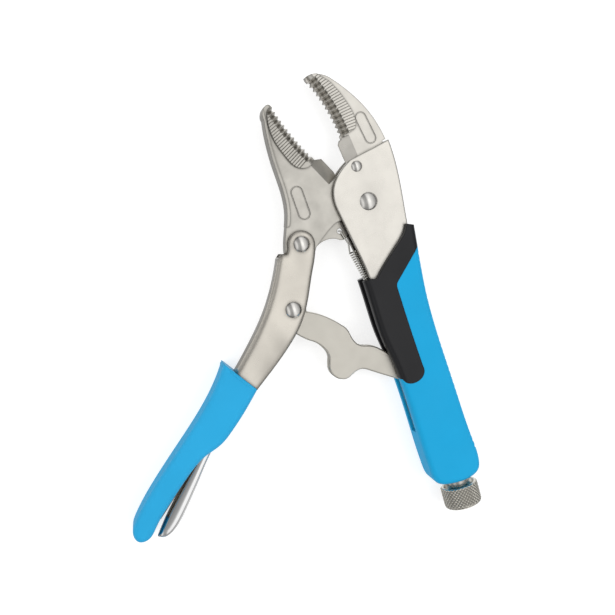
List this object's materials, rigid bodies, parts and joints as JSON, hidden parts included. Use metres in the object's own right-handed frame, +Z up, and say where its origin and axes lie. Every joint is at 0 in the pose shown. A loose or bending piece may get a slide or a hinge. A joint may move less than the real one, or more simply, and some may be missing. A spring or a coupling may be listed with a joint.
{
  "type": "locking pliers",
  "caption": "Curved-jaw locking pliers with wire cutter, over-centre toggle link, release lever, two-colour grips and an adjusting screw, shown wide open.",
  "frame": {"origin": "centre of the bounding box's underside, on the flat underside of the fixed grip", "axes": "+X towards the back of the fixed handle, +Y along the adjusting screw towards the jaws, +Z up through the thickness"},
  "size_m": [0.1934, 0.2534, 0.022],
  "materials": {
    "nickel_steel": "satin nickel plate",
    "forged_steel": "satin nickel plate on forged steel",
    "rivet_steel": "polished",
    "dark_steel": "turned",
    "blue_rubber": "matte moulded",
    "black_rubber": "satin moulded",
    "link_steel": "tumbled satin",
    "polished_steel": "polished",
    "spring_steel": "drawn wire",
    "knurled_steel": "diamond knurled, nickel plated"
  },
  "bodies": {
    "fixed_handle": {"fixed_channel": "nickel_steel", "fixed_jaw": "forged_steel", "jaw_rivet": "rivet_steel", "pivot_rivet": "rivet_steel", "end_nut": "dark_steel", "fixed_grip": "blue_rubber", "grip_insert": "black_rubber", "spring_anchor_pin": "rivet_steel"},
    "moving_jaw": {"moving_jaw": "forged_steel"},
    "moving_handle": {"moving_channel": "nickel_steel", "handle_rivet": "rivet_steel", "link_rivet": "rivet_steel", "lever_pin": "rivet_steel", "moving_grip": "blue_rubber"},
    "toggle_link": {"toggle_link": "link_steel"},
    "release_lever": {"release_lever": "polished_steel"},
    "spring": {"jaw_spring": "spring_steel"},
    "screw": {"adjusting_screw": "rivet_steel"},
    "knob": {"adjusting_knob": "knurled_steel"}
  },
  "joints": [
    {"name": "jaw_close", "type": "hinge", "parent": "fixed_handle", "child": "moving_jaw", "pos_m": [0.0744, 0.0538, 0.011], "axis": [0, 0, -1], "range_deg": [0, 16.5]},
    {"name": "handle_fold", "type": "hinge", "parent": "moving_jaw", "child": "moving_handle", "pos_m": [0.0329, 0.0416, 0.011], "axis": [0, 0, 1], "range_deg": [0, 35.9]},
    {"name": "link_fold", "type": "hinge", "parent": "moving_handle", "child": "toggle_link", "pos_m": [0.019, 0.0087, 0.011], "axis": [0, 0, -1], "range_deg": [0, 28.2]},
    {"name": "spring_swing", "type": "hinge", "parent": "moving_jaw", "child": "spring", "pos_m": [0.0558, 0.0423, 0.011], "axis": [0, 0, 1], "range_deg": [0, 18], "deforming": ["jaw_spring"]},
    {"name": "lever_press", "type": "hinge", "parent": "moving_handle", "child": "release_lever", "pos_m": [-0.0266, -0.0317, 0.011], "axis": [0, 0, -1], "range_deg": [-2, 2.5]},
    {"name": "screw_travel", "type": "slide", "parent": "fixed_handle", "child": "screw", "axis": [0, 1, 0], "range_m": [-0.0031, 0]},
    {"name": "knob_turn", "type": "hinge", "parent": "screw", "child": "knob", "pos_m": [0.0834, -0.12, 0.011], "axis": [0, 1, 0], "range_deg": [-720, 0]}
  ],
  "couplings": [
    {"joint": "handle_fold", "follows": "jaw_close", "ratio": 2.1715},
    {"joint": "link_fold", "follows": "jaw_close", "ratio": 1.704},
    {"joint": "spring_swing", "follows": "jaw_close", "ratio": 1.06},
    {"joint": "screw_travel", "follows": "knob_turn", "m_per_rad": 0.00019894}
  ]
}
